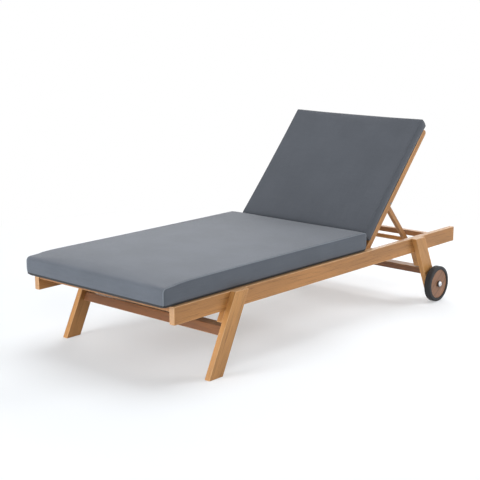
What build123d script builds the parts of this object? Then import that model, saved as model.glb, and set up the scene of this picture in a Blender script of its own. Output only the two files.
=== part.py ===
from build123d import *
import os
from math import atan2, cos, degrees, hypot, radians, sin, tan

os.makedirs("parts", exist_ok=True)

# Sun lounger, in millimetres. X is the width, Y runs from the foot to the head, Z is up from the floor.
# A name ending in set is a distance from the rails' foot end, and one ending in back is from their head end.

# Deck frame
rail_length = 1900
rail_height = 68
rail_thick = 25
frame_width = 780          # over the outer faces of the side rails
deck_height = 311          # top of the rails and of the slats
edge_round = 2             # softened edges of the boards

# Legs
leg_width = 68
leg_thick = 25
leg_lean = 25.5            # degrees from upright
front_leg_set = 301        # foot end of the rail to the leg's top corner
rear_leg_back = 370
rear_leg_end = 45          # height of the rear leg's lower end
front_block_share = 0.181  # block below the rail, of the rail's height off the floor
rear_block_share = 0.3

# Stretchers
stretcher_depth = 50
stretcher_height = 33
front_stretcher_gap = 20   # below the leg block
rear_stretcher_gap = 4
tenon_length = 15
tenon_depth = 30
tenon_height = 19
pin_dia = 6
pin_length = 62            # from the leg's narrow face

# Seat slats and their bearers
slat_count = 11
slat_width = 72
slat_thick = 22
slat_set = 4               # foot end of the rail to the first slat
deck_hinge_gap = 39        # last slat to the hinge
slat_end_gap = 0.5
bearer_width = 20
bearer_height = 25
bearer_set = 12            # first slat's edge to the bearer
bearer_taper = 58          # sloped underside at its foot end
bearer_nose = 5            # height of the sloped end

# Screws
screw_dia = 4
screw_head_dia = 8
screw_head_thick = 3
screw_sink = 1             # head below the face
slat_screw_length = 32
rail_screw_length = 30
bearer_screw_step = 3      # slat gaps from one bearer screw to the next
leg_screw_length = 34
plug_depth = 5
plug_inset = 14            # from the leg's head-facing edge
front_plug_drop = 23       # below the deck
leg_screw_inset = 18       # from the rail's top and bottom edges
rear_block_screw_share = 0.75  # down the block

# Backrest hinge
hinge_drop = 14            # below the deck
hinge_bolt_dia = 10
hinge_head_dia = 16
hinge_head_thick = 5
hinge_bite = 20            # into the rail
hinge_block_thick = 12
hinge_block_length = 54
hinge_block_height = 41
hinge_block_sink = 2       # below the deck
hinge_screw_reach = 19     # along the block, from the bolt
washer_dia = 20
washer_gap = 2             # between the stile and the block
run_clear = 0.05           # radial clearance of a turning pin
side_clear = 0.15          # each side of a turning part
soft_clear = 0.3           # below a cushion, and round a sliding pin

# Backrest
rest_tilt = 47.85          # degrees above flat in the modelled pose
top_tilt = 57
notch_tilts = [top_tilt, rest_tilt, 33, 18, 0]
stile_thick = 22
stile_depth = 28
stile_end_gap = 5          # tip short of the rail's end when flat
back_slat_count = 6
back_slat_thick = 10.5
back_slat_set = 14         # hinge to the first slat's edge
back_slat_end = 12         # last slat's edge to the stile's tip
back_tenon_length = 8
back_tenon_thick = 6
back_tenon_inset = 8

# Prop
strut_thick = 20
strut_depth = 20
strut_extra = 4.5          # strut between its pins, longer than the pivot's reach
strut_gap = 1.5            # between the strut and the stile
pivot_reach = 260          # hinge to the pivot, along the stile
pivot_drop = 7             # pivot behind the stile's middle
pivot_dia = 6
pivot_head_dia = 11
pivot_head_thick = 3
prop_washer_dia = 14
prop_rest_angle = 48       # strut below level in the modelled pose
prop_follow = 0.9443       # strut's turn for each degree of the backrest
prop_end_gap = 49.5        # folded prop's foot to the head cross bar
prop_bar_dia = 20
foot_pin_dia = 10
foot_pin_bite = 20         # into the bar
foot_pin_end_gap = 2       # to the rail

# Ratchet strips
ratchet_thick = 12
ratchet_lead = 28          # past the first and last notch
ratchet_web = 14           # below the lowest notch
notch_depth = 6
notch_ramp = 16
notch_lip = 1.5
ratchet_screw_rise = 9

# Head cross bar
head_bar_back = 91
head_bar_depth = 26
head_bar_height = 25
head_tenon_length = 10
head_tenon_inset = 5
pad_length = 20
pad_thick = 2.7

# Wheels
tyre_dia = 165
tyre_width = 31
tyre_round = 5
tyre_wall = 15.5
disc_width = 25
axle_dia = 10
axle_head_dia = 18
axle_head_thick = 6
axle_spacer_dia = 22
axle_spacer_thick = 9
bush_dia = 20
axle_washer_dia = 30
axle_washer_thick = 1.5
cap_dia = 24
cap_thick = 8
cap_round = 6
cap_bore_depth = 4.5

# Cushions
seat_lap = 19              # over each side rail
seat_overhang = 46         # past the foot end of the rails
seat_hinge_gap = 47        # cushion's head end to the hinge
seat_edge = 84             # height of the sides
seat_crown = 8
seat_foot_fall = 9         # lower sides at the foot end
back_lap = 8               # past each stile
back_foot = 42             # hinge to the cushion's lower end
back_overlap = 19          # past the stiles' tips
back_edge = 57
back_crown = 8
cushion_round = 8          # corner of a section
end_round = 12             # drawn in at the ends
side_draw = 5              # drawn in at the middle of the sides

# Stations along a cushion, and what each takes of the end's rounding, the side's draw, the crown
# and the seat's fall to its foot end
station_shares = [0, 0.006, 0.02, 0.12, 0.3, 0.5, 0.7, 0.88, 0.98, 0.994, 1]
end_shares = [1, 0.4, 0, 0, 0, 0, 0, 0, 0, 0.4, 1]
draw_shares = [0, 0, 0.05, 0.5, 0.9, 1, 0.9, 0.5, 0.05, 0, 0]
crown_shares = [0.1, 0.2, 0.35, 0.75, 0.95, 1, 0.95, 0.75, 0.35, 0.2, 0.1]
fall_shares = [1, 1, 0.95, 0, 0, 0, 0, 0, 0, 0, 0]

# Places that follow from the sizes
foot_y = -(rail_length - seat_overhang) / 2
half_width = frame_width / 2
rail_inner = half_width - rail_thick
leg_outer = half_width + leg_thick
rail_floor = deck_height - rail_height
slat_floor = deck_height - slat_thick
front_block_floor = rail_floor * (1 - front_block_share)
rear_block_floor = rail_floor * (1 - rear_block_share)
front_stretcher_mid = front_block_floor - front_stretcher_gap - stretcher_height / 2
rear_stretcher_mid = rear_block_floor - rear_stretcher_gap - stretcher_height / 2
lean_rate = tan(radians(leg_lean))
leg_run = leg_width / cos(radians(leg_lean))
front_leg_y = foot_y + front_leg_set
head_y = foot_y + rail_length
rear_leg_y = head_y - rear_leg_back
bearer_inner = rail_inner - bearer_width
strut_length = pivot_reach + strut_extra
hinge_back = head_bar_back + prop_end_gap + pivot_reach + strut_length
deck_run = rail_length - hinge_back - deck_hinge_gap - slat_set
slat_pitch = (deck_run - slat_width) / (slat_count - 1)
first_slat_y = foot_y + slat_set + slat_width / 2
block_inner = rail_inner - hinge_block_thick
stile_outer = block_inner - washer_gap
stile_inner = stile_outer - stile_thick
strut_outer = stile_inner - strut_gap
strut_inner = strut_outer - strut_thick
foot_pin_end = rail_inner - foot_pin_end_gap
hinge_y = head_y - hinge_back
hinge_z = deck_height - hinge_drop
stile_reach = hinge_back - stile_end_gap
pivot_radius = hypot(pivot_reach, pivot_drop)
pivot_angle = -degrees(atan2(pivot_drop, pivot_reach))
disc_dia = tyre_dia - 2 * tyre_wall
axle_z = tyre_dia / 2
axle_y = rear_leg_y + (deck_height - axle_z) * lean_rate + leg_run / 2
wheel_inner = leg_outer + axle_spacer_thick
wheel_outer = wheel_inner + tyre_width


def front_leg_edge(height):
    """Y of the front leg's foot-facing edge at a height."""
    return front_leg_y - (deck_height - height) * lean_rate


def rear_leg_edge(height):
    """Y of the rear leg's foot-facing edge at a height."""
    return rear_leg_y + (deck_height - height) * lean_rate


def front_leg_outline(top, floor):
    """Corners of the front leg's slant between two heights, as (Y, Z)."""
    return [
        (front_leg_edge(top), top),
        (front_leg_edge(top) + leg_run, top),
        (front_leg_edge(floor) + leg_run, floor),
        (front_leg_edge(floor), floor),
    ]


def rear_leg_outline(top, floor):
    """Corners of the rear leg's slant between two heights, as (Y, Z)."""
    return [
        (rear_leg_edge(top), top),
        (rear_leg_edge(top) + leg_run, top),
        (rear_leg_edge(floor) + leg_run, floor),
        (rear_leg_edge(floor), floor),
    ]


def prop_foot(tilt):
    """Centre of the foot pins, as (Y, Z), with the backrest at a tilt."""
    swing = radians(tilt + pivot_angle)
    drop = radians(prop_rest_angle + (tilt - rest_tilt) * prop_follow)
    y = hinge_y + pivot_radius * cos(swing) + strut_length * cos(drop)
    z = hinge_z + pivot_radius * sin(swing) - strut_length * sin(drop)
    return y, z


# Directions of the backrest in the modelled pose: along the stiles and out of their front face
back_along = Vector(0, cos(radians(rest_tilt)), sin(radians(rest_tilt)))
back_out = Vector(0, -sin(radians(rest_tilt)), cos(radians(rest_tilt)))
hinge_point = Vector(0, hinge_y, hinge_z)
pivot_point = hinge_point + back_along * pivot_reach - back_out * pivot_drop
foot_rest_y, foot_rest_z = prop_foot(rest_tilt)
strut_along = Vector(0, foot_rest_y - pivot_point.Y, foot_rest_z - pivot_point.Z).normalized()


def back_plane(x):
    """Side view of the backrest at an X: local x runs along the stile, local y out of its front."""
    return Plane(origin=hinge_point + Vector(x, 0, 0), x_dir=back_along, z_dir=(1, 0, 0))


def strut_plane(x):
    """Side view of the prop at an X: local x runs from the pivot to the foot."""
    return Plane(origin=pivot_point + Vector(x, 0, 0), x_dir=strut_along, z_dir=(1, 0, 0))


# Screw places as (Y, Z) on the rails, and the leg screws that go in from the inside
bearer_mid = slat_floor - bearer_height / 2
bearer_screws = [
    (first_slat_y + slat_pitch * (n + 1 / 2), bearer_mid) for n in range(0, slat_count - 1, bearer_screw_step)
]
block_screw_z = deck_height - hinge_block_sink - hinge_block_height / 2
block_screws = [(hinge_y - hinge_screw_reach, block_screw_z), (hinge_y + hinge_screw_reach, block_screw_z)]
notch_places = [prop_foot(tilt) for tilt in notch_tilts]
ratchet_start = notch_places[0][0] - ratchet_lead
ratchet_end = notch_places[-1][0] + ratchet_lead
ratchet_floor = notch_places[-1][1] - foot_pin_dia / 2 - soft_clear - notch_depth - ratchet_web
ratchet_screw_z = ratchet_floor + ratchet_screw_rise
ratchet_screw_shares = [0.06, 0.42, 0.94]
ratchet_screws = [
    (ratchet_start + (ratchet_end - ratchet_start) * share, ratchet_screw_z) for share in ratchet_screw_shares
]
screw_heights = [deck_height - leg_screw_inset, rail_floor + leg_screw_inset]
front_block_mid = (rail_floor + front_block_floor) / 2
rear_block_low = rail_floor + (rear_block_floor - rail_floor) * rear_block_screw_share
front_rail_screws = [(front_leg_edge(z) + leg_run / 2, z) for z in screw_heights]
rear_rail_screws = [(rear_leg_edge(z) + leg_run / 2, z) for z in screw_heights]
front_block_screw = (front_leg_edge(front_block_mid) + leg_run / 2, front_block_mid)
rear_block_screw = (rear_leg_edge(rear_block_low) + leg_run / 2, rear_block_low)
front_plug_z = deck_height - front_plug_drop
rear_plug_z = (rail_floor + rear_block_floor) / 2
front_plug = (front_leg_edge(front_plug_z) + leg_run - plug_inset, front_plug_z)
rear_plug = (rear_leg_edge(rear_plug_z) + leg_run - plug_inset, rear_plug_z)
inner_screws = front_rail_screws + rear_rail_screws
block_leg_screws = [front_block_screw, rear_block_screw]
head_sink = rail_inner + screw_sink
plug_floor = leg_outer - plug_depth
outer_screw_end = plug_floor - leg_screw_length
head_bar_y = head_y - head_bar_back + head_bar_depth / 2
pad_floor = hinge_z - stile_depth / 2 - soft_clear - pad_thick
head_bar_z = pad_floor - head_bar_height / 2

# Stretcher pins start where the slanted face is furthest out over a pin's height
leg_slip = pin_dia * lean_rate
pin_x = half_width + tenon_length / 2
front_pin_start = front_leg_edge(front_stretcher_mid) - leg_slip
rear_pin_start = rear_leg_edge(rear_stretcher_mid) + leg_run + leg_slip

# Side rails: boards on edge, bored for the hinge bolt, the screws and the cross bar's tenon
with BuildPart() as side_rail_right:
    with BuildSketch(Plane.YZ.offset(rail_inner)):
        with Locations((foot_y + rail_length / 2, deck_height - rail_height / 2)):
            Rectangle(rail_length, rail_height)
    extrude(amount=rail_thick)
    fillet(side_rail_right.edges(), radius=edge_round)
    with BuildSketch(Plane.YZ.offset(rail_inner)):
        with Locations((hinge_y, hinge_z)):
            Circle(hinge_bolt_dia / 2)
    extrude(amount=hinge_bite, mode=Mode.SUBTRACT)
    with BuildSketch(Plane.YZ.offset(rail_inner)):
        with Locations((head_bar_y, head_bar_z)):
            Rectangle(head_bar_depth - 2 * head_tenon_inset, head_bar_height - 2 * head_tenon_inset)
    extrude(amount=head_tenon_length, mode=Mode.SUBTRACT)
    with BuildSketch(Plane.YZ.offset(bearer_inner + screw_sink)):
        with Locations(*bearer_screws):
            Circle(screw_dia / 2)
    extrude(amount=rail_screw_length, mode=Mode.SUBTRACT)
    with BuildSketch(Plane.YZ.offset(block_inner + screw_sink)):
        with Locations(*block_screws, *ratchet_screws):
            Circle(screw_dia / 2)
    extrude(amount=rail_screw_length, mode=Mode.SUBTRACT)
    with BuildSketch(Plane.YZ.offset(rail_inner)):
        with Locations(*inner_screws):
            Circle(screw_dia / 2)
    extrude(amount=rail_thick, mode=Mode.SUBTRACT)
    with BuildSketch(Plane.YZ.offset(rail_inner)):
        with Locations(*inner_screws):
            Circle(screw_head_dia / 2)
    extrude(amount=screw_sink + screw_head_thick, mode=Mode.SUBTRACT)
    with BuildSketch(Plane.YZ.offset(outer_screw_end)):
        with Locations(front_plug):
            Circle(screw_dia / 2)
    extrude(amount=leg_screw_length, mode=Mode.SUBTRACT)
side_rail_right.part.label = "side_rail_right"
export_step(side_rail_right.part, "parts/side_rail_right.step")

with BuildPart() as side_rail_left:
    mirror(side_rail_right.part, about=Plane.YZ)
side_rail_left.part.label = "side_rail_left"
export_step(side_rail_left.part, "parts/side_rail_left.step")

# Front legs: leaning boards cut level at the deck and at the floor, with a mortise for the stretcher
front_mortise_y = front_leg_edge(front_stretcher_mid) + leg_run - stretcher_depth / 2
with BuildPart() as front_leg_right:
    with BuildSketch(Plane.YZ.offset(half_width)):
        with BuildLine():
            Polyline(*front_leg_outline(deck_height, 0), close=True)
        make_face()
    extrude(amount=leg_thick)
    fillet(front_leg_right.edges(), radius=edge_round)
    with BuildSketch(Plane.YZ.offset(half_width)):
        with Locations((front_mortise_y, front_stretcher_mid)):
            Rectangle(tenon_depth, tenon_height)
    extrude(amount=tenon_length, mode=Mode.SUBTRACT)
    with BuildSketch(Plane.YZ.offset(outer_screw_end)):
        with Locations(front_plug):
            Circle(screw_dia / 2)
    extrude(amount=leg_screw_length, mode=Mode.SUBTRACT)
    with BuildSketch(Plane.YZ.offset(plug_floor - screw_head_thick)):
        with Locations(front_plug):
            Circle(screw_head_dia / 2)
    extrude(amount=screw_head_thick + plug_depth, mode=Mode.SUBTRACT)
    with BuildSketch(Plane.YZ.offset(head_sink)):
        with Locations(*front_rail_screws, front_block_screw):
            Circle(screw_dia / 2)
    extrude(amount=leg_screw_length, mode=Mode.SUBTRACT)
    with BuildSketch(Plane.XZ.offset(-front_pin_start)):
        with Locations((pin_x, front_stretcher_mid)):
            Circle(pin_dia / 2)
    extrude(amount=-pin_length - leg_slip, mode=Mode.SUBTRACT)
front_leg_right.part.label = "front_leg_right"
export_step(front_leg_right.part, "parts/front_leg_right.step")

with BuildPart() as front_leg_left:
    mirror(front_leg_right.part, about=Plane.YZ)
front_leg_left.part.label = "front_leg_left"
export_step(front_leg_left.part, "parts/front_leg_left.step")

# Rear legs: the same board leaning the other way, ending above the floor and bored for the axle
rear_mortise_y = rear_leg_edge(rear_stretcher_mid) + stretcher_depth / 2
with BuildPart() as rear_leg_right:
    with BuildSketch(Plane.YZ.offset(half_width)):
        with BuildLine():
            Polyline(*rear_leg_outline(deck_height, rear_leg_end), close=True)
        make_face()
    extrude(amount=leg_thick)
    fillet(rear_leg_right.edges(), radius=edge_round)
    with BuildSketch(Plane.YZ.offset(half_width)):
        with Locations((rear_mortise_y, rear_stretcher_mid)):
            Rectangle(tenon_depth, tenon_height)
    extrude(amount=tenon_length, mode=Mode.SUBTRACT)
    with BuildSketch(Plane.YZ.offset(half_width)):
        with Locations((axle_y, axle_z)):
            Circle(axle_dia / 2)
    extrude(amount=leg_thick, mode=Mode.SUBTRACT)
    with BuildSketch(Plane.YZ.offset(outer_screw_end)):
        with Locations(rear_plug):
            Circle(screw_dia / 2)
    extrude(amount=leg_screw_length, mode=Mode.SUBTRACT)
    with BuildSketch(Plane.YZ.offset(plug_floor - screw_head_thick)):
        with Locations(rear_plug):
            Circle(screw_head_dia / 2)
    extrude(amount=screw_head_thick + plug_depth, mode=Mode.SUBTRACT)
    with BuildSketch(Plane.YZ.offset(head_sink)):
        with Locations(*rear_rail_screws, rear_block_screw):
            Circle(screw_dia / 2)
    extrude(amount=leg_screw_length, mode=Mode.SUBTRACT)
    with BuildSketch(Plane.XZ.offset(-rear_pin_start)):
        with Locations((pin_x, rear_stretcher_mid)):
            Circle(pin_dia / 2)
    extrude(amount=pin_length + leg_slip, mode=Mode.SUBTRACT)
rear_leg_right.part.label = "rear_leg_right"
export_step(rear_leg_right.part, "parts/rear_leg_right.step")

with BuildPart() as rear_leg_left:
    mirror(rear_leg_right.part, about=Plane.YZ)
rear_leg_left.part.label = "rear_leg_left"
export_step(rear_leg_left.part, "parts/rear_leg_left.step")

# Leg blocks: packing under the rails, behind the leg boards, cut on the same slant
with BuildPart() as leg_blocks:
    with BuildSketch(Plane.YZ.offset(rail_inner)):
        with BuildLine():
            Polyline(*front_leg_outline(rail_floor, front_block_floor), close=True)
        make_face()
        with BuildLine():
            Polyline(*rear_leg_outline(rail_floor, rear_block_floor), close=True)
        make_face()
    extrude(amount=rail_thick)
    fillet(leg_blocks.edges(), radius=edge_round)
    with BuildSketch(Plane.YZ.offset(rail_inner)):
        with Locations(*block_leg_screws):
            Circle(screw_dia / 2)
    extrude(amount=rail_thick, mode=Mode.SUBTRACT)
    with BuildSketch(Plane.YZ.offset(rail_inner)):
        with Locations(*block_leg_screws):
            Circle(screw_head_dia / 2)
    extrude(amount=screw_sink + screw_head_thick, mode=Mode.SUBTRACT)
    with BuildSketch(Plane.YZ.offset(outer_screw_end)):
        with Locations(rear_plug):
            Circle(screw_dia / 2)
    extrude(amount=leg_screw_length, mode=Mode.SUBTRACT)
    mirror(about=Plane.YZ)
leg_blocks.part.label = "leg_blocks"
export_step(leg_blocks.part, "parts/leg_blocks.step")

# Stretchers: slanted bars between the legs, with a tenon at each end
front_stretcher_top = front_stretcher_mid + stretcher_height / 2
front_stretcher_floor = front_stretcher_mid - stretcher_height / 2
with BuildPart() as front_stretcher:
    with BuildSketch(Plane.YZ.offset(-half_width)):
        with BuildLine():
            Polyline(
                (front_leg_edge(front_stretcher_top) + leg_run, front_stretcher_top),
                (front_leg_edge(front_stretcher_top) + leg_run - stretcher_depth, front_stretcher_top),
                (front_leg_edge(front_stretcher_floor) + leg_run - stretcher_depth, front_stretcher_floor),
                (front_leg_edge(front_stretcher_floor) + leg_run, front_stretcher_floor),
                close=True,
            )
        make_face()
    extrude(amount=frame_width)
    fillet(front_stretcher.edges().filter_by(Axis.X), radius=edge_round)
    with BuildSketch(Plane.YZ.offset(-half_width - tenon_length)):
        with Locations((front_mortise_y, front_stretcher_mid)):
            Rectangle(tenon_depth, tenon_height)
    extrude(amount=frame_width + 2 * tenon_length)
    with BuildSketch(Plane.XZ.offset(-front_pin_start)):
        with Locations((-pin_x, front_stretcher_mid), (pin_x, front_stretcher_mid)):
            Circle(pin_dia / 2)
    extrude(amount=-pin_length - leg_slip, mode=Mode.SUBTRACT)
front_stretcher.part.label = "front_stretcher"
export_step(front_stretcher.part, "parts/front_stretcher.step")

rear_stretcher_top = rear_stretcher_mid + stretcher_height / 2
rear_stretcher_floor = rear_stretcher_mid - stretcher_height / 2
with BuildPart() as rear_stretcher:
    with BuildSketch(Plane.YZ.offset(-half_width)):
        with BuildLine():
            Polyline(
                (rear_leg_edge(rear_stretcher_top), rear_stretcher_top),
                (rear_leg_edge(rear_stretcher_top) + stretcher_depth, rear_stretcher_top),
                (rear_leg_edge(rear_stretcher_floor) + stretcher_depth, rear_stretcher_floor),
                (rear_leg_edge(rear_stretcher_floor), rear_stretcher_floor),
                close=True,
            )
        make_face()
    extrude(amount=frame_width)
    fillet(rear_stretcher.edges().filter_by(Axis.X), radius=edge_round)
    with BuildSketch(Plane.YZ.offset(-half_width - tenon_length)):
        with Locations((rear_mortise_y, rear_stretcher_mid)):
            Rectangle(tenon_depth, tenon_height)
    extrude(amount=frame_width + 2 * tenon_length)
    with BuildSketch(Plane.XZ.offset(-rear_pin_start)):
        with Locations((-pin_x, rear_stretcher_mid), (pin_x, rear_stretcher_mid)):
            Circle(pin_dia / 2)
    extrude(amount=pin_length + leg_slip, mode=Mode.SUBTRACT)
rear_stretcher.part.label = "rear_stretcher"
export_step(rear_stretcher.part, "parts/rear_stretcher.step")

# Stretcher pins: level dowels through the tenons, trimmed to the legs' narrow faces
with BuildPart() as stretcher_pins:
    with BuildSketch(Plane.XZ.offset(-front_pin_start)):
        with Locations((pin_x, front_stretcher_mid)):
            Circle(pin_dia / 2)
    extrude(amount=-pin_length - leg_slip)
    with BuildSketch(Plane.XZ.offset(-rear_pin_start)):
        with Locations((pin_x, rear_stretcher_mid)):
            Circle(pin_dia / 2)
    extrude(amount=pin_length + leg_slip)
    with BuildSketch(Plane.YZ.offset(half_width)):
        with BuildLine():
            Polyline(*front_leg_outline(deck_height, 0), close=True)
        make_face()
        with BuildLine():
            Polyline(*rear_leg_outline(deck_height, 0), close=True)
        make_face()
    extrude(amount=leg_thick, mode=Mode.INTERSECT)
    mirror(about=Plane.YZ)
stretcher_pins.part.label = "stretcher_pins"
export_step(stretcher_pins.part, "parts/stretcher_pins.step")

# Seat bearers: battens screwed inside the rails, with the slats screwed down on them
slat_centres = [first_slat_y + slat_pitch * n for n in range(slat_count)]
slat_screw_x = rail_inner - bearer_width / 2
slat_screw_top = deck_height - screw_sink
bearer_start = foot_y + slat_set + bearer_set
bearer_end = foot_y + slat_set + deck_run
bearer_outline = [
    (bearer_start, slat_floor),
    (bearer_end, slat_floor),
    (bearer_end, slat_floor - bearer_height),
    (bearer_start + bearer_taper, slat_floor - bearer_height),
    (bearer_start, slat_floor - bearer_nose),
]
with BuildPart() as seat_bearer_right:
    with BuildSketch(Plane.YZ.offset(bearer_inner)):
        Polygon(*bearer_outline, align=None)
    extrude(amount=bearer_width)
    with BuildSketch(Plane.YZ.offset(bearer_inner)):
        with Locations(*bearer_screws):
            Circle(screw_dia / 2)
    extrude(amount=bearer_width, mode=Mode.SUBTRACT)
    with BuildSketch(Plane.YZ.offset(bearer_inner)):
        with Locations(*bearer_screws):
            Circle(screw_head_dia / 2)
    extrude(amount=screw_sink + screw_head_thick, mode=Mode.SUBTRACT)
    with BuildSketch(Plane.XY.offset(slat_screw_top - slat_screw_length)):
        with Locations(*[(slat_screw_x, y) for y in slat_centres]):
            Circle(screw_dia / 2)
    extrude(amount=slat_screw_length, mode=Mode.SUBTRACT)
seat_bearer_right.part.label = "seat_bearer_right"
export_step(seat_bearer_right.part, "parts/seat_bearer_right.step")

with BuildPart() as seat_bearer_left:
    mirror(seat_bearer_right.part, about=Plane.YZ)
seat_bearer_left.part.label = "seat_bearer_left"
export_step(seat_bearer_left.part, "parts/seat_bearer_left.step")

# Seat slats: boards across the bearers, level with the rails, one screw at each end
for index, slat_y in enumerate(slat_centres, start=1):
    with BuildPart() as seat_slat:
        with BuildSketch(Plane.XY.offset(slat_floor)):
            with Locations((0, slat_y)):
                Rectangle(2 * (rail_inner - slat_end_gap), slat_width)
        extrude(amount=slat_thick)
        fillet(seat_slat.edges(), radius=edge_round)
        with BuildSketch(Plane.XY.offset(slat_floor)):
            with Locations((-slat_screw_x, slat_y), (slat_screw_x, slat_y)):
                Circle(screw_dia / 2)
        extrude(amount=slat_thick, mode=Mode.SUBTRACT)
        with BuildSketch(Plane.XY.offset(slat_screw_top - screw_head_thick)):
            with Locations((-slat_screw_x, slat_y), (slat_screw_x, slat_y)):
                Circle(screw_head_dia / 2)
        extrude(amount=screw_head_thick + screw_sink, mode=Mode.SUBTRACT)
    seat_slat.part.label = f"seat_slat_{index:02d}"
    export_step(seat_slat.part, f"parts/seat_slat_{index:02d}.step")

with BuildPart() as slat_screws:
    with BuildSketch(Plane.XY.offset(slat_screw_top - slat_screw_length)):
        with Locations(*[(slat_screw_x, y) for y in slat_centres]):
            Circle(screw_dia / 2)
    extrude(amount=slat_screw_length)
    with BuildSketch(Plane.XY.offset(slat_screw_top - screw_head_thick)):
        with Locations(*[(slat_screw_x, y) for y in slat_centres]):
            Circle(screw_head_dia / 2)
    extrude(amount=screw_head_thick)
    mirror(about=Plane.YZ)
slat_screws.part.label = "slat_screws"
export_step(slat_screws.part, "parts/slat_screws.step")

# Hinge blocks: packing between the rails and the stiles
with BuildPart() as hinge_blocks:
    with BuildSketch(Plane.YZ.offset(block_inner)):
        with Locations((hinge_y, block_screw_z)):
            Rectangle(hinge_block_length, hinge_block_height)
    extrude(amount=hinge_block_thick)
    with BuildSketch(Plane.YZ.offset(block_inner)):
        with Locations((hinge_y, hinge_z)):
            Circle(hinge_bolt_dia / 2)
        with Locations(*block_screws):
            Circle(screw_dia / 2)
    extrude(amount=hinge_block_thick, mode=Mode.SUBTRACT)
    with BuildSketch(Plane.YZ.offset(block_inner)):
        with Locations(*block_screws):
            Circle(screw_head_dia / 2)
    extrude(amount=screw_sink + screw_head_thick, mode=Mode.SUBTRACT)
    mirror(about=Plane.YZ)
hinge_blocks.part.label = "hinge_blocks"
export_step(hinge_blocks.part, "parts/hinge_blocks.step")

# Hinge bolts: shoulder bolts from inside the stiles into blind holes in the rails
with BuildPart() as hinge_bolts:
    with BuildSketch(Plane.YZ.offset(stile_inner - side_clear)):
        with Locations((hinge_y, hinge_z)):
            Circle(hinge_bolt_dia / 2)
    extrude(amount=rail_inner + hinge_bite - stile_inner + side_clear)
    with BuildSketch(Plane.YZ.offset(stile_inner - side_clear - hinge_head_thick)):
        with Locations((hinge_y, hinge_z)):
            Circle(hinge_head_dia / 2)
    extrude(amount=hinge_head_thick)
    mirror(about=Plane.YZ)
hinge_bolts.part.label = "hinge_bolts"
export_step(hinge_bolts.part, "parts/hinge_bolts.step")

with BuildPart() as hinge_washers:
    with BuildSketch(Plane.YZ.offset(stile_outer + side_clear)):
        with Locations((hinge_y, hinge_z)):
            Circle(washer_dia / 2)
            Circle(hinge_bolt_dia / 2, mode=Mode.SUBTRACT)
    extrude(amount=washer_gap - side_clear)
    mirror(about=Plane.YZ)
hinge_washers.part.label = "hinge_washers"
export_step(hinge_washers.part, "parts/hinge_washers.step")

# Ratchet strips: notched battens inside the rails, just below the foot pins' path
tip_drop = foot_pin_dia / 2 + soft_clear
valley_half = foot_pin_dia / 2
tip_heights = [place[1] - tip_drop for place in notch_places]


def ratchet_tip(y):
    """Height of the tooth tips at a Y, straight from notch to notch."""
    if y <= notch_places[0][0]:
        return tip_heights[0]
    for (y0, _), (y1, _), z0, z1 in zip(notch_places, notch_places[1:], tip_heights, tip_heights[1:]):
        if y <= y1:
            return z0 + (z1 - z0) * (y - y0) / (y1 - y0)
    return tip_heights[-1]


ratchet_outline = [(ratchet_start, ratchet_floor), (ratchet_start, ratchet_tip(ratchet_start))]
for (notch_y, notch_z), tip_z in zip(notch_places, tip_heights):
    valley_z = tip_z - notch_depth
    ramp_y = notch_y - notch_ramp
    lip_y = notch_y + valley_half + notch_lip
    ratchet_outline.append((ramp_y, ratchet_tip(ramp_y)))
    ratchet_outline.append((notch_y - valley_half, valley_z))
    ratchet_outline.append((notch_y + valley_half, valley_z))
    ratchet_outline.append((lip_y, ratchet_tip(lip_y)))
ratchet_outline.append((ratchet_end, ratchet_tip(ratchet_end)))
ratchet_outline.append((ratchet_end, ratchet_floor))

with BuildPart() as ratchet_strip_right:
    with BuildSketch(Plane.YZ.offset(rail_inner - ratchet_thick)):
        with BuildLine():
            Polyline(*ratchet_outline, close=True)
        make_face()
    extrude(amount=ratchet_thick)
    with BuildSketch(Plane.YZ.offset(rail_inner - ratchet_thick)):
        with Locations(*ratchet_screws):
            Circle(screw_dia / 2)
    extrude(amount=ratchet_thick, mode=Mode.SUBTRACT)
    with BuildSketch(Plane.YZ.offset(rail_inner - ratchet_thick)):
        with Locations(*ratchet_screws):
            Circle(screw_head_dia / 2)
    extrude(amount=screw_sink + screw_head_thick, mode=Mode.SUBTRACT)
ratchet_strip_right.part.label = "ratchet_strip_right"
export_step(ratchet_strip_right.part, "parts/ratchet_strip_right.step")

with BuildPart() as ratchet_strip_left:
    mirror(ratchet_strip_right.part, about=Plane.YZ)
ratchet_strip_left.part.label = "ratchet_strip_left"
export_step(ratchet_strip_left.part, "parts/ratchet_strip_left.step")

# Rail screws: through the bearers, hinge blocks and ratchet strips into the rails
with BuildPart() as rail_screws:
    for start, places in ((bearer_inner, bearer_screws), (block_inner, block_screws + ratchet_screws)):
        with BuildSketch(Plane.YZ.offset(start + screw_sink)):
            with Locations(*places):
                Circle(screw_dia / 2)
        extrude(amount=rail_screw_length)
        with BuildSketch(Plane.YZ.offset(start + screw_sink)):
            with Locations(*places):
                Circle(screw_head_dia / 2)
        extrude(amount=screw_head_thick)
    mirror(about=Plane.YZ)
rail_screws.part.label = "rail_screws"
export_step(rail_screws.part, "parts/rail_screws.step")

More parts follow.
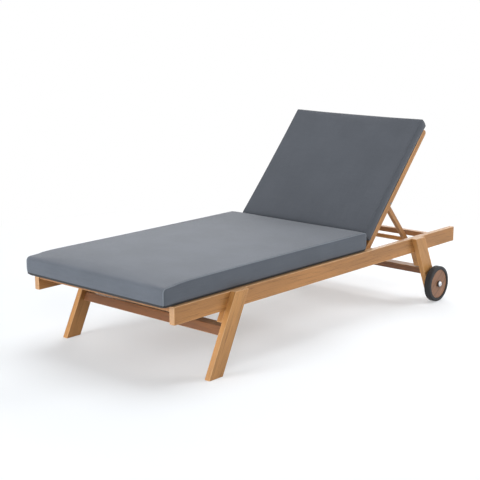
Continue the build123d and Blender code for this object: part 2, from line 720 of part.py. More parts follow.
# Leg screws: from the rails and blocks into the legs, and one through each leg under a plug
with BuildPart() as leg_screws:
    with BuildSketch(Plane.YZ.offset(head_sink)):
        with Locations(*inner_screws, *block_leg_screws):
            Circle(screw_dia / 2)
    extrude(amount=leg_screw_length)
    with BuildSketch(Plane.YZ.offset(head_sink)):
        with Locations(*inner_screws, *block_leg_screws):
            Circle(screw_head_dia / 2)
    extrude(amount=screw_head_thick)
    with BuildSketch(Plane.YZ.offset(outer_screw_end)):
        with Locations(front_plug, rear_plug):
            Circle(screw_dia / 2)
    extrude(amount=leg_screw_length)
    with BuildSketch(Plane.YZ.offset(plug_floor - screw_head_thick)):
        with Locations(front_plug, rear_plug):
            Circle(screw_head_dia / 2)
    extrude(amount=screw_head_thick)
    mirror(about=Plane.YZ)
leg_screws.part.label = "leg_screws"
export_step(leg_screws.part, "parts/leg_screws.step")

with BuildPart() as leg_plugs:
    with BuildSketch(Plane.YZ.offset(plug_floor)):
        with Locations(front_plug, rear_plug):
            Circle(screw_head_dia / 2)
    extrude(amount=plug_depth)
    mirror(about=Plane.YZ)
leg_plugs.part.label = "leg_plugs"
export_step(leg_plugs.part, "parts/leg_plugs.step")

# Head cross bar: tenoned between the rails, with a pad under each stile
with BuildPart() as head_cross_bar:
    with BuildSketch(Plane.YZ.offset(-rail_inner)):
        with Locations((head_bar_y, head_bar_z)):
            Rectangle(head_bar_depth, head_bar_height)
    extrude(amount=2 * rail_inner)
    fillet(head_cross_bar.edges().filter_by(Axis.X), radius=edge_round)
    with BuildSketch(Plane.YZ.offset(-rail_inner - head_tenon_length)):
        with Locations((head_bar_y, head_bar_z)):
            Rectangle(head_bar_depth - 2 * head_tenon_inset, head_bar_height - 2 * head_tenon_inset)
    extrude(amount=2 * (rail_inner + head_tenon_length))
head_cross_bar.part.label = "head_cross_bar"
export_step(head_cross_bar.part, "parts/head_cross_bar.step")

with BuildPart() as head_rest_pads:
    with BuildSketch(Plane.XY.offset(pad_floor)):
        with Locations(((stile_inner + stile_outer) / 2, head_bar_y)):
            Rectangle(stile_thick, pad_length)
    extrude(amount=pad_thick)
    mirror(about=Plane.YZ)
head_rest_pads.part.label = "head_rest_pads"
export_step(head_rest_pads.part, "parts/head_rest_pads.step")

# Axle bolts: headed inside the legs, with a spacer, an outer washer and a domed cap nut
axle_end = wheel_outer + axle_washer_thick + cap_bore_depth
with BuildPart() as axle_bolts:
    with BuildSketch(Plane.YZ.offset(half_width)):
        with Locations((axle_y, axle_z)):
            Circle(axle_dia / 2)
    extrude(amount=axle_end - half_width)
    with BuildSketch(Plane.YZ.offset(half_width - axle_head_thick)):
        with Locations((axle_y, axle_z)):
            RegularPolygon(axle_head_dia / 2, 6)
    extrude(amount=axle_head_thick)
    mirror(about=Plane.YZ)
axle_bolts.part.label = "axle_bolts"
export_step(axle_bolts.part, "parts/axle_bolts.step")

with BuildPart() as axle_washers:
    with BuildSketch(Plane.YZ.offset(leg_outer)):
        with Locations((axle_y, axle_z)):
            Circle(axle_spacer_dia / 2)
            Circle(axle_dia / 2, mode=Mode.SUBTRACT)
    extrude(amount=axle_spacer_thick)
    with BuildSketch(Plane.YZ.offset(wheel_outer)):
        with Locations((axle_y, axle_z)):
            Circle(axle_washer_dia / 2)
            Circle(axle_dia / 2, mode=Mode.SUBTRACT)
    extrude(amount=axle_washer_thick)
    mirror(about=Plane.YZ)
axle_washers.part.label = "axle_washers"
export_step(axle_washers.part, "parts/axle_washers.step")

with BuildPart() as axle_cap_nuts:
    with BuildSketch(Plane.YZ.offset(wheel_outer + axle_washer_thick)):
        with Locations((axle_y, axle_z)):
            Circle(cap_dia / 2)
    extrude(amount=cap_thick)
    fillet(axle_cap_nuts.edges().sort_by(Axis.X)[-1], radius=cap_round)
    with BuildSketch(Plane.YZ.offset(wheel_outer + axle_washer_thick)):
        with Locations((axle_y, axle_z)):
            Circle(axle_dia / 2)
    extrude(amount=cap_bore_depth, mode=Mode.SUBTRACT)
    mirror(about=Plane.YZ)
axle_cap_nuts.part.label = "axle_cap_nuts"
export_step(axle_cap_nuts.part, "parts/axle_cap_nuts.step")

# Wheels: a rubber tyre on a wooden disc, with a bush that turns on the axle bolt
disc_inner = wheel_inner + (tyre_width - disc_width) / 2
with BuildPart() as wheel_tyre_right:
    with BuildSketch(Plane.YZ.offset(wheel_inner + side_clear)):
        with Locations((axle_y, axle_z)):
            Circle(tyre_dia / 2)
    extrude(amount=tyre_width - 2 * side_clear)
    fillet(wheel_tyre_right.edges(), radius=tyre_round)
    with BuildSketch(Plane.YZ.offset(wheel_inner)):
        with Locations((axle_y, axle_z)):
            Circle(disc_dia / 2)
    extrude(amount=tyre_width, mode=Mode.SUBTRACT)
wheel_tyre_right.part.label = "wheel_tyre_right"
export_step(wheel_tyre_right.part, "parts/wheel_tyre_right.step")

with BuildPart() as wheel_tyre_left:
    mirror(wheel_tyre_right.part, about=Plane.YZ)
wheel_tyre_left.part.label = "wheel_tyre_left"
export_step(wheel_tyre_left.part, "parts/wheel_tyre_left.step")

with BuildPart() as wheel_disc_right:
    with BuildSketch(Plane.YZ.offset(disc_inner)):
        with Locations((axle_y, axle_z)):
            Circle(disc_dia / 2)
    extrude(amount=disc_width)
    fillet(wheel_disc_right.edges(), radius=edge_round)
    with BuildSketch(Plane.YZ.offset(disc_inner)):
        with Locations((axle_y, axle_z)):
            Circle(bush_dia / 2)
    extrude(amount=disc_width, mode=Mode.SUBTRACT)
wheel_disc_right.part.label = "wheel_disc_right"
export_step(wheel_disc_right.part, "parts/wheel_disc_right.step")

with BuildPart() as wheel_disc_left:
    mirror(wheel_disc_right.part, about=Plane.YZ)
wheel_disc_left.part.label = "wheel_disc_left"
export_step(wheel_disc_left.part, "parts/wheel_disc_left.step")

with BuildPart() as wheel_bush_right:
    with BuildSketch(Plane.YZ.offset(wheel_inner + side_clear)):
        with Locations((axle_y, axle_z)):
            Circle(bush_dia / 2)
            Circle(axle_dia / 2 + run_clear, mode=Mode.SUBTRACT)
    extrude(amount=tyre_width - 2 * side_clear)
wheel_bush_right.part.label = "wheel_bush_right"
export_step(wheel_bush_right.part, "parts/wheel_bush_right.step")

with BuildPart() as wheel_bush_left:
    mirror(wheel_bush_right.part, about=Plane.YZ)
wheel_bush_left.part.label = "wheel_bush_left"
export_step(wheel_bush_left.part, "parts/wheel_bush_left.step")

# Back stiles: round-ended bars that turn on the hinge bolts and carry the slats and the prop
stile_half = stile_depth / 2
slat_out = stile_half - back_slat_thick / 2
back_slat_run = stile_reach - back_slat_set - back_slat_end
back_pitch = (back_slat_run - slat_width) / (back_slat_count - 1)
back_slat_places = [back_slat_set + slat_width / 2 + back_pitch * n for n in range(back_slat_count)]
back_tenon_width = slat_width - 2 * back_tenon_inset
with BuildPart() as back_stile_right:
    with BuildSketch(back_plane(stile_inner)):
        with Locations(((stile_reach - stile_half) / 2, 0)):
            Rectangle(stile_reach - stile_half, stile_depth)
        Circle(stile_half)
        with Locations((stile_reach - stile_half, 0)):
            Circle(stile_half)
    extrude(amount=stile_thick)
    fillet(back_stile_right.edges().group_by(Axis.X)[0], radius=edge_round)
    fillet(back_stile_right.edges().group_by(Axis.X)[-1], radius=edge_round)
    with BuildSketch(back_plane(stile_inner)):
        Circle(hinge_bolt_dia / 2 + run_clear)
        with Locations((pivot_reach, -pivot_drop)):
            Circle(pivot_dia / 2)
    extrude(amount=stile_thick, mode=Mode.SUBTRACT)
    with BuildSketch(back_plane(stile_outer - pivot_head_thick)):
        with Locations((pivot_reach, -pivot_drop)):
            Circle(pivot_head_dia / 2)
    extrude(amount=pivot_head_thick, mode=Mode.SUBTRACT)
    with BuildSketch(back_plane(stile_inner)):
        with Locations(*[(u, slat_out) for u in back_slat_places]):
            Rectangle(back_tenon_width, back_tenon_thick)
    extrude(amount=back_tenon_length, mode=Mode.SUBTRACT)
back_stile_right.part.label = "back_stile_right"
export_step(back_stile_right.part, "parts/back_stile_right.step")

with BuildPart() as back_stile_left:
    mirror(back_stile_right.part, about=Plane.YZ)
back_stile_left.part.label = "back_stile_left"
export_step(back_stile_left.part, "parts/back_stile_left.step")

# Back slats: thin boards let in flush between the stiles, with a stub tenon at each end
for index, slat_u in enumerate(back_slat_places, start=1):
    with BuildPart() as back_slat:
        with BuildSketch(back_plane(-stile_inner)):
            with Locations((slat_u, slat_out)):
                Rectangle(slat_width, back_slat_thick)
        extrude(amount=2 * stile_inner)
        fillet(back_slat.edges().filter_by(Axis.X), radius=edge_round)
        with BuildSketch(back_plane(-stile_inner - back_tenon_length)):
            with Locations((slat_u, slat_out)):
                Rectangle(back_tenon_width, back_tenon_thick)
        extrude(amount=2 * (stile_inner + back_tenon_length))
    back_slat.part.label = f"back_slat_{index}"
    export_step(back_slat.part, f"parts/back_slat_{index}.step")

# Prop pivot bolts: flush in the stiles' outer faces, headed inside the struts
pivot_end = strut_inner - side_clear
with BuildPart() as prop_pivot_bolts:
    with BuildSketch(back_plane(pivot_end)):
        with Locations((pivot_reach, -pivot_drop)):
            Circle(pivot_dia / 2)
    extrude(amount=stile_outer - pivot_end)
    with BuildSketch(back_plane(pivot_end - pivot_head_thick)):
        with Locations((pivot_reach, -pivot_drop)):
            Circle(pivot_head_dia / 2)
    extrude(amount=pivot_head_thick)
    with BuildSketch(back_plane(stile_outer - pivot_head_thick)):
        with Locations((pivot_reach, -pivot_drop)):
            Circle(pivot_head_dia / 2)
    extrude(amount=pivot_head_thick)
    mirror(about=Plane.YZ)
prop_pivot_bolts.part.label = "prop_pivot_bolts"
export_step(prop_pivot_bolts.part, "parts/prop_pivot_bolts.step")

# Prop struts: round-ended bars that hang from the pivot bolts
strut_half = strut_depth / 2
with BuildPart() as prop_strut_right:
    with BuildSketch(strut_plane(strut_inner)):
        with Locations((strut_length / 2, 0)):
            Rectangle(strut_length, strut_depth)
        Circle(strut_half)
        with Locations((strut_length, 0)):
            Circle(strut_half)
    extrude(amount=strut_thick)
    fillet(prop_strut_right.edges().group_by(Axis.X)[0], radius=edge_round)
    fillet(prop_strut_right.edges().group_by(Axis.X)[-1], radius=edge_round)
    with BuildSketch(strut_plane(strut_inner)):
        Circle(pivot_dia / 2 + run_clear)
        with Locations((strut_length, 0)):
            Circle(foot_pin_dia / 2)
    extrude(amount=strut_thick, mode=Mode.SUBTRACT)
prop_strut_right.part.label = "prop_strut_right"
export_step(prop_strut_right.part, "parts/prop_strut_right.step")

with BuildPart() as prop_strut_left:
    mirror(prop_strut_right.part, about=Plane.YZ)
prop_strut_left.part.label = "prop_strut_left"
export_step(prop_strut_left.part, "parts/prop_strut_left.step")

# Prop washers: against the struts, between them and the stiles
with BuildPart() as prop_washers:
    with BuildSketch(strut_plane(strut_outer)):
        Circle(prop_washer_dia / 2)
        Circle(pivot_dia / 2 + run_clear, mode=Mode.SUBTRACT)
    extrude(amount=strut_gap - side_clear)
    mirror(about=Plane.YZ)
prop_washers.part.label = "prop_washers"
export_step(prop_washers.part, "parts/prop_washers.step")

# Prop bar: a dowel between the struts, bored at each end for a foot pin
with BuildPart() as prop_bar:
    with BuildSketch(strut_plane(-strut_inner)):
        with Locations((strut_length, 0)):
            Circle(prop_bar_dia / 2)
    extrude(amount=2 * strut_inner)
    with BuildSketch(strut_plane(strut_inner - foot_pin_bite)):
        with Locations((strut_length, 0)):
            Circle(foot_pin_dia / 2)
    extrude(amount=foot_pin_bite, mode=Mode.SUBTRACT)
    with BuildSketch(strut_plane(-strut_inner)):
        with Locations((strut_length, 0)):
            Circle(foot_pin_dia / 2)
    extrude(amount=foot_pin_bite, mode=Mode.SUBTRACT)
prop_bar.part.label = "prop_bar"
export_step(prop_bar.part, "parts/prop_bar.step")

# Prop foot pins: through the struts' lower ends and out over the ratchet strips
with BuildPart() as prop_foot_pins:
    with BuildSketch(strut_plane(strut_inner - foot_pin_bite)):
        with Locations((strut_length, 0)):
            Circle(foot_pin_dia / 2)
    extrude(amount=foot_pin_end - strut_inner + foot_pin_bite)
    mirror(about=Plane.YZ)
prop_foot_pins.part.label = "prop_foot_pins"
export_step(prop_foot_pins.part, "parts/prop_foot_pins.step")


def cushion_outline(half, edge, crown, inset, draw):
    """Section of a cushion, from (0, 0) at the middle of its flat underside."""
    side = half - inset - draw
    top = edge - inset
    turn = cushion_round * (1 - cos(radians(45)))
    low_in = (side - cushion_round, 0)
    low_mid = (side - turn, turn)
    low_out = (side, cushion_round)
    high_out = (side, top - cushion_round)
    high_mid = (side - turn, top - turn)
    high_in = (side - cushion_round, top)
    summit = (0, top + crown)
    return low_in, low_mid, low_out, high_out, high_mid, high_in, summit


def flip(point):
    """The same point on the other side of a section."""
    return -point[0], point[1]


# Seat cushion: flat below, crowned above, rounded at the ends and drawn in along the sides
seat_half_width = rail_inner + seat_lap
seat_run = rail_length - hinge_back - seat_hinge_gap + seat_overhang
seat_stations = zip(station_shares, end_shares, draw_shares, crown_shares, fall_shares)
with BuildPart() as seat_cushion:
    for place, end, draw, crown, fall in seat_stations:
        station_y = foot_y - seat_overhang + seat_run * place
        edge = seat_edge - seat_foot_fall * fall
        outline = cushion_outline(
            seat_half_width, edge, seat_crown * crown, end_round * end, side_draw * draw
        )
        low_in, low_mid, low_out, high_out, high_mid, high_in, summit = outline
        station = Plane(
            origin=(0, station_y, deck_height + soft_clear), x_dir=(1, 0, 0), z_dir=(0, -1, 0)
        )
        with BuildSketch(station):
            with BuildLine():
                Line(flip(low_in), low_in)
                ThreePointArc(low_in, low_mid, low_out)
                Line(low_out, high_out)
                ThreePointArc(high_out, high_mid, high_in)
                ThreePointArc(high_in, summit, flip(high_in))
                ThreePointArc(flip(high_in), flip(high_mid), flip(high_out))
                Line(flip(high_out), flip(low_out))
                ThreePointArc(flip(low_out), flip(low_mid), flip(low_in))
            make_face()
    loft(ruled=True)
seat_cushion.part.label = "seat_cushion"
export_step(seat_cushion.part, "parts/seat_cushion.step")

# Back cushion: the same form laid on the backrest's slats
back_half_width = stile_outer + back_lap
back_run = stile_reach + back_overlap - back_foot
back_stations = zip(station_shares, end_shares, draw_shares, crown_shares)
with BuildPart() as back_cushion:
    for place, end, draw, crown in back_stations:
        outline = cushion_outline(
            back_half_width, back_edge, back_crown * crown, end_round * end, side_draw * draw
        )
        low_in, low_mid, low_out, high_out, high_mid, high_in, summit = outline
        station_point = hinge_point + back_along * (back_foot + back_run * place)
        station = Plane(
            origin=station_point + back_out * (stile_half + soft_clear), x_dir=(-1, 0, 0), z_dir=back_along
        )
        with BuildSketch(station):
            with BuildLine():
                Line(flip(low_in), low_in)
                ThreePointArc(low_in, low_mid, low_out)
                Line(low_out, high_out)
                ThreePointArc(high_out, high_mid, high_in)
                ThreePointArc(high_in, summit, flip(high_in))
                ThreePointArc(flip(high_in), flip(high_mid), flip(high_out))
                Line(flip(high_out), flip(low_out))
                ThreePointArc(flip(low_out), flip(low_mid), flip(low_in))
            make_face()
    loft(ruled=True)
back_cushion.part.label = "back_cushion"
export_step(back_cushion.part, "parts/back_cushion.step")
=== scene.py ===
from math import cos, pi, radians, sin

import bpy
import numpy as np
from mathutils import Matrix, Vector
from mathutils.bvhtree import BVHTree
from mathutils.kdtree import KDTree


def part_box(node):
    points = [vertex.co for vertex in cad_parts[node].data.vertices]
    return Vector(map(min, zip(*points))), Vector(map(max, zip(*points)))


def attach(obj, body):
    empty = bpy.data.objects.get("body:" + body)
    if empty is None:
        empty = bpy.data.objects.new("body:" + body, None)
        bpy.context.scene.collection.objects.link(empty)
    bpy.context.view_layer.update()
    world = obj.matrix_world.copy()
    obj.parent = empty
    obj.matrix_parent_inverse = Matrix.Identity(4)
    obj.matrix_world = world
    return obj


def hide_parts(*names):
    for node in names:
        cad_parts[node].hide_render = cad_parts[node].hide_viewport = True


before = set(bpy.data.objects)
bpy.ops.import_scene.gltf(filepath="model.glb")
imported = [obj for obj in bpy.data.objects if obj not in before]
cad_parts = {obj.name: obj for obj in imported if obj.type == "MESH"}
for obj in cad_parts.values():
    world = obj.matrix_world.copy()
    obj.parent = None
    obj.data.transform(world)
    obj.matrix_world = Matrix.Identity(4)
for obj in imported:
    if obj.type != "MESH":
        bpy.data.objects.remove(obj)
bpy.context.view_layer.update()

# The two side rails: oiled hardwood boards on edge, 1.9 m long, planed with softened arrises.
# They carry the legs on their outer faces and everything else on their inner ones.
# The grain is cut from one solid pattern of growth rings, so end grain shows at the board ends.


def node_group(name, inputs, outputs):
    """An empty node group with named sockets."""
    group = bpy.data.node_groups.new(name, "ShaderNodeTree")
    for in_out, sockets in (("INPUT", inputs), ("OUTPUT", outputs)):
        for label, kind in sockets.items():
            group.interface.new_socket(label, in_out=in_out, socket_type=f"NodeSocket{kind}")
    return group


def wire(tree, node, inputs):
    """Sets a node's inputs, each from a constant or from another socket."""
    for key, value in inputs.items():
        socket = node.inputs[key]
        if isinstance(value, bpy.types.NodeSocket):
            tree.links.new(value, socket)
        else:
            socket.default_value = value


def add_node(tree, kind, inputs=None, **values):
    """A node of that kind, with its settings and its inputs."""
    node = tree.nodes.new(kind)
    for key, value in values.items():
        setattr(node, key, value)
    wire(tree, node, inputs or {})
    return node


def blend_colors(tree, share, first, second, mode="MIX"):
    """The colour that a Mix node puts out. Its colour inputs have the numbers 6 and 7."""
    node = add_node(tree, "ShaderNodeMix", data_type="RGBA", blend_type=mode)
    wire(tree, node, {0: share, 6: first, 7: second})
    return node.outputs[2]


def scaled_range(tree, value, low, high, to_low=0.0, to_high=1.0):
    """A value's part between low and high, spread smoothly over another range."""
    inputs = {"Value": value, "From Min": low, "From Max": high, "To Min": to_low, "To Max": to_high}
    return add_node(tree, "ShaderNodeMapRange", inputs, interpolation_type="SMOOTHSTEP").outputs[0]


def calculate(tree, operation, *values):
    """What a Math node makes of its values."""
    return add_node(tree, "ShaderNodeMath", dict(enumerate(values)), operation=operation).outputs[0]


def noise(tree, place, detail, roughness=0.5, scale=1.0, per_axis=None):
    """Cloudy noise, with a scale for all axes or one for each axis."""
    if per_axis:
        place = add_node(tree, "ShaderNodeMapping", {"Vector": place, "Scale": per_axis}).outputs[0]
    inputs = {"Vector": place, "Scale": scale, "Detail": detail, "Roughness": roughness}
    return add_node(tree, "ShaderNodeTexNoise", inputs).outputs["Fac"]


grain_inputs = {
    "Vector": "Vector",
    "Early wood": "Color",
    "Late wood": "Color",
    "Streak": "Color",
    "Ring scale": "Float",
    "Ring share": "Float",
    "Streak share": "Float",
}
grain = node_group("Board grain", grain_inputs, {"Color": "Color", "Roughness": "Float", "Height": "Float"})
inside = add_node(grain, "NodeGroupInput").outputs
spot, streak_color = inside["Vector"], inside["Streak"]
rings = add_node(
    grain,
    "ShaderNodeTexWave",
    {
        "Vector": add_node(grain, "ShaderNodeMapping", {"Vector": spot, "Scale": (0.05, 1, 1)}).outputs[0],
        "Scale": inside["Ring scale"],
        "Distortion": 9.0,
        "Detail": 3.0,
        "Detail Scale": 0.22,
    },
    wave_type="RINGS",
    rings_direction="X",
).outputs["Fac"]
streaks = noise(grain, spot, detail=5.0, roughness=0.6, per_axis=(4, 110, 110))
streaks = scaled_range(grain, streaks, 0.5, 0.72)
flecks = noise(grain, spot, detail=3.0, roughness=0.7, per_axis=(13, 230, 230))
flecks = scaled_range(grain, flecks, 0.56, 0.7)
pores = scaled_range(grain, noise(grain, spot, detail=2.0, per_axis=(45, 900, 900)), 0.6, 0.72)
patches = noise(grain, spot, detail=2.0, per_axis=(2.2, 14, 14))
patches = scaled_range(grain, patches, 0.3, 0.7, to_low=0.84, to_high=1.14)
ring_share = calculate(grain, "MULTIPLY", rings, inside["Ring share"])
mixed = blend_colors(grain, ring_share, inside["Early wood"], inside["Late wood"])
for marks in (streaks, flecks):
    share = calculate(grain, "MULTIPLY", marks, inside["Streak share"])
    mixed = blend_colors(grain, share, mixed, streak_color)
mixed = blend_colors(grain, 1.0, mixed, patches, "MULTIPLY")
pore_darkness = 0.22
mixed = blend_colors(grain, calculate(grain, "MULTIPLY", pores, pore_darkness), mixed, streak_color)
smoothest = 0.38
rough = calculate(grain, "ADD", smoothest, calculate(grain, "MULTIPLY", rings, 0.1))
relief = calculate(grain, "SUBTRACT", calculate(grain, "MULTIPLY", rings, 0.5), pores)
add_node(grain, "NodeGroupOutput", {"Color": mixed, "Roughness": rough, "Height": relief})

arris_inputs = {"Vector": "Vector", "Half size": "Vector", "Width": "Float"}
arris = node_group("Arris wear", arris_inputs, {"Mask": "Float"})
inside = add_node(arris, "NodeGroupInput").outputs
folded = add_node(arris, "ShaderNodeVectorMath", {0: inside["Vector"]}, operation="ABSOLUTE").outputs[0]
depth_inputs = {0: inside["Half size"], 1: folded}
depth = add_node(arris, "ShaderNodeVectorMath", depth_inputs, operation="SUBTRACT").outputs[0]
x, y, z = add_node(arris, "ShaderNodeSeparateXYZ", {0: depth}).outputs
lower = calculate(arris, "MINIMUM", x, y)
upper = calculate(arris, "MAXIMUM", x, y)
second = calculate(arris, "MAXIMUM", lower, calculate(arris, "MINIMUM", upper, z))
spotty = noise(arris, inside["Vector"], detail=4.0, scale=38.0)
reach = calculate(arris, "MULTIPLY", inside["Width"], calculate(arris, "MULTIPLY", spotty, 2.0))
near = calculate(arris, "SUBTRACT", 1.0, calculate(arris, "DIVIDE", second, reach))
add_node(arris, "NodeGroupOutput", {"Mask": add_node(arris, "ShaderNodeClamp", {"Value": near}).outputs[0]})


def srgb(red, green, blue):
    """A colour written as it looks on a screen, from 0 to 255, as Blender's own linear values."""
    return (*[((v / 255 + 0.055) / 1.055) ** 2.4 if v > 10 else v / 3294.6 for v in (red, green, blue)], 1.0)


board_tones = {
    "honey": (srgb(182, 132, 76), srgb(159, 109, 57), srgb(92, 55, 27)),
    "amber": (srgb(171, 120, 66), srgb(148, 98, 48), srgb(85, 50, 24)),
    "umber": (srgb(148, 99, 54), srgb(126, 80, 40), srgb(74, 44, 23)),
    # The darkest tone paints the shade under the deck onto the stretchers.
    "russet_painted_shade": (srgb(122, 78, 44), srgb(102, 62, 33), srgb(62, 37, 21)),
    "walnut": (srgb(144, 101, 70), srgb(114, 76, 51), srgb(66, 42, 27)),
}


def new_material(name):
    """A new material, with its node tree and its Principled shader."""
    material = bpy.data.materials.new(name)
    material.use_nodes = True
    return material, material.node_tree, material.node_tree.nodes["Principled BSDF"]


def bumped(tree, height, strength, distance):
    """The normal of a surface with a fine relief."""
    inputs = {"Strength": strength, "Distance": distance, "Height": height}
    return add_node(tree, "ShaderNodeBump", inputs).outputs[0]


def board(name, along, tone, seed, ring_share=0.35, streak_share=0.45):
    """Gives one board its own oiled wood, with rubbed arrises, and its top and ends painted paler as painted
    reflection and painted light.
    """
    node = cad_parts[name]
    along = Vector(along).normalized()
    side = Vector((0, 0, 1)) if abs(along.z) < 0.5 else Vector((1, 0, 0))
    side = (side - along * side.dot(along)).normalized()
    turn = Matrix((along, side, along.cross(side)))
    places = np.array([turn @ v.co for v in node.data.vertices])
    low, high = places.min(0), places.max(0)
    material, tree, shader = new_material(f"Oiled wood {name}")
    spots = add_node(tree, "ShaderNodeTexCoord").outputs
    own_inputs = {
        "Vector": spots["Object"],
        "Rotation": turn.to_euler("XYZ"),
        "Location": -Vector((low + high) / 2),
    }
    own = add_node(tree, "ShaderNodeMapping", own_inputs).outputs[0]
    cut_place = (seed * 1.7, 0.05 + seed * 0.013, 0.03 + seed * 0.021)
    early, late, streak = board_tones[tone]
    wood_inputs = {
        "Vector": add_node(tree, "ShaderNodeMapping", {"Vector": own, "Location": cut_place}).outputs[0],
        "Early wood": early,
        "Late wood": late,
        "Streak": streak,
        "Ring scale": 75,
        "Ring share": ring_share,
        "Streak share": streak_share,
    }
    wood = add_node(tree, "ShaderNodeGroup", wood_inputs, node_tree=grain).outputs
    wear_inputs = {"Vector": own, "Half size": (high - low) / 2, "Width": 0.0035}
    wear = add_node(tree, "ShaderNodeGroup", wear_inputs, node_tree=arris).outputs["Mask"]
    rubbed = calculate(tree, "MULTIPLY", wear, 0.4)
    worn = blend_colors(tree, rubbed, wood["Color"], srgb(226, 184, 134))
    # Painted light: faces turned up are painted paler as a painted reflection of the bright sky, and the
    # board's ends are painted paler as painted light.
    upward = add_node(tree, "ShaderNodeSeparateXYZ", {0: spots["Normal"]}).outputs["Z"]
    end_inputs = {0: spots["Normal"], 1: along}
    endward = add_node(tree, "ShaderNodeVectorMath", end_inputs, operation="DOT_PRODUCT").outputs["Value"]
    up_or_end_face = calculate(tree, "MAXIMUM", upward, calculate(tree, "ABSOLUTE", endward))
    painted_pale_light = calculate(tree, "MULTIPLY", scaled_range(tree, up_or_end_face, 0.7, 0.98), 0.3)
    shader_inputs = {
        "Base Color": blend_colors(tree, painted_pale_light, worn, srgb(196, 172, 144)),
        "Roughness": wood["Roughness"],
        "Normal": bumped(tree, wood["Height"], 0.3, 0.0004),
        "Specular IOR Level": 0.4,
    }
    wire(tree, shader, shader_inputs)
    node.data.materials.clear()
    node.data.materials.append(material)


board("side_rail_right", (0, 1, 0), "amber", 1)
board("side_rail_left", (0, 1, 0), "amber", 2)

# The four legs: leaning boards 68 mm wide, screwed through the rails from inside.
# The front pair stand on the floor, and the rear pair carry the axle of the wheels.
lean = radians(25.5)
leg_along = {"front": (0, sin(lean), cos(lean)), "rear": (0, -sin(lean), cos(lean))}
for end in ("front", "rear"):
    for side in ("right", "left"):
        board(f"{end}_leg_{side}", leg_along[end], "honey", 3 + 2 * (end == "rear") + (side == "left"))

# Packing blocks inside the legs below the rails, and the round plugs that hide the leg screws.
# The plugs are cut across the grain from the same wood, glued in and sanded flush.
board("leg_blocks", (0, sin(lean), cos(lean)), "amber", 7)
board("leg_plugs", (0, 0, 1), "amber", 8, 0.2, 0.9)


def plain_metal(name, color, roughness, scratch):
    """Bare metal with fine turning lines and a few smudges."""
    material, tree, shader = new_material(name)
    place = add_node(tree, "ShaderNodeTexCoord").outputs["Object"]
    lines = noise(tree, place, detail=3.0, scale=900.0)
    smudge = noise(tree, place, detail=3.0, scale=70.0)
    dull = tuple(0.8 * v for v in color[:3]) + (1.0,)
    shader_inputs = {
        "Base Color": blend_colors(tree, scaled_range(tree, smudge, 0.5, 0.8), color, dull),
        "Roughness": scaled_range(tree, smudge, 0.35, 0.7, roughness, roughness + 0.14),
        "Normal": bumped(tree, lines, scratch, 0.0001),
        "Metallic": 1.0,
    }
    wire(tree, shader, shader_inputs)
    return material


def dress(material, slot, *names):
    """Puts one material on CAD nodes."""
    for name in names:
        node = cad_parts[name]
        node.data.materials.clear()
        node.data.materials.append(material)


screw_steel = plain_metal("Screw steel", srgb(120, 119, 118), 0.45, 0.3)
dress(screw_steel, "steel", "leg_screws", "rail_screws", "slat_screws")

# Two stretchers between the legs, tenoned into them, each tenon held by a level wooden dowel.
# The grain runs across the lounger.
# The stretchers take the darkest tone as painted shade from the deck and cushion above them.
board("front_stretcher", (1, 0, 0), "russet_painted_shade", 9)
board("rear_stretcher", (1, 0, 0), "russet_painted_shade", 10)
board("stretcher_pins", (0, 1, 0), "amber", 11, 0.2, 0.8)

# The seat deck: eleven slats across the frame, screwed down on battens inside the rails.
# Only their ends and undersides show below the cushion.
board("seat_bearer_right", (0, 1, 0), "amber", 12)
board("seat_bearer_left", (0, 1, 0), "amber", 13)
# The first slat, whose end shows below the cushion at the foot, falls on the darker umber tone as painted
# shade from the cushion.
for number in range(1, 12):
    board(f"seat_slat_{number:02d}", (1, 0, 0), ("honey", "umber", "amber")[number % 3], 13 + number)

# The backrest hinge: a packing block inside each rail, and a steel bolt with a washer on each side.
# The bolts are what the stiles turn on.
board("hinge_blocks", (0, 1, 0), "amber", 25)
dress(screw_steel, "steel", "hinge_bolts", "hinge_washers")

# Notched battens inside the rails, which the prop's foot pins run along.
# They are cut from the same wood as the rails and screwed to them.
board("ratchet_strip_right", (0, 1, 0), "honey", 26)
board("ratchet_strip_left", (0, 1, 0), "honey", 27)

# The cross bar at the head end: a hardwood bar between the rails, which it ties together.
# The flat backrest lies on its two rubber pads.
board("head_cross_bar", (1, 0, 0), "umber", 28)


def matt_rubber(name, dark, light):
    """Moulded rubber or plastic, speckled and matt."""
    material, tree, shader = new_material(name)
    place = add_node(tree, "ShaderNodeTexCoord").outputs["Object"]
    speckle = noise(tree, place, detail=3.0, scale=260.0)
    shader_inputs = {
        "Base Color": blend_colors(tree, speckle, dark, light),
        "Roughness": scaled_range(tree, speckle, 0.3, 0.7, 0.62, 0.8),
    }
    wire(tree, shader, shader_inputs)
    return material


rubber = matt_rubber("Rest pad rubber", srgb(36, 36, 38), srgb(58, 57, 57))
dress(rubber, "rubber", "head_rest_pads")

# The seat cushion: a foam slab in a sewn cover of woven outdoor cloth, with a panel above and below
# and a boxing strip between them. The cover is pressed outwards by the foam, which is what the
# cloth simulation does, and the seams are sewn on afterwards.
weave_inputs = {
    "Vector": "Vector",
    "Facing": "Vector",
    "Yarn": "Color",
    "Dark yarn": "Color",
    "Thread pitch": "Float",
    "Painted top light": "Float",
}
weave = node_group("Cloth weave", weave_inputs, {"Color": "Color", "Roughness": "Float", "Height": "Float"})
inside = add_node(weave, "NodeGroupInput").outputs
spot, dark_yarn = inside["Vector"], inside["Dark yarn"]
facing = add_node(weave, "ShaderNodeVectorMath", {0: inside["Facing"]}, operation="ABSOLUTE").outputs[0]
face_x, face_y, face_z = add_node(weave, "ShaderNodeSeparateXYZ", {0: facing}).outputs
x, y, z = add_node(weave, "ShaderNodeSeparateXYZ", {0: spot}).outputs
turns = calculate(weave, "DIVIDE", pi, inside["Thread pitch"])
waves = [calculate(weave, "SINE", calculate(weave, "MULTIPLY", v, turns)) for v in (x, y, z)]
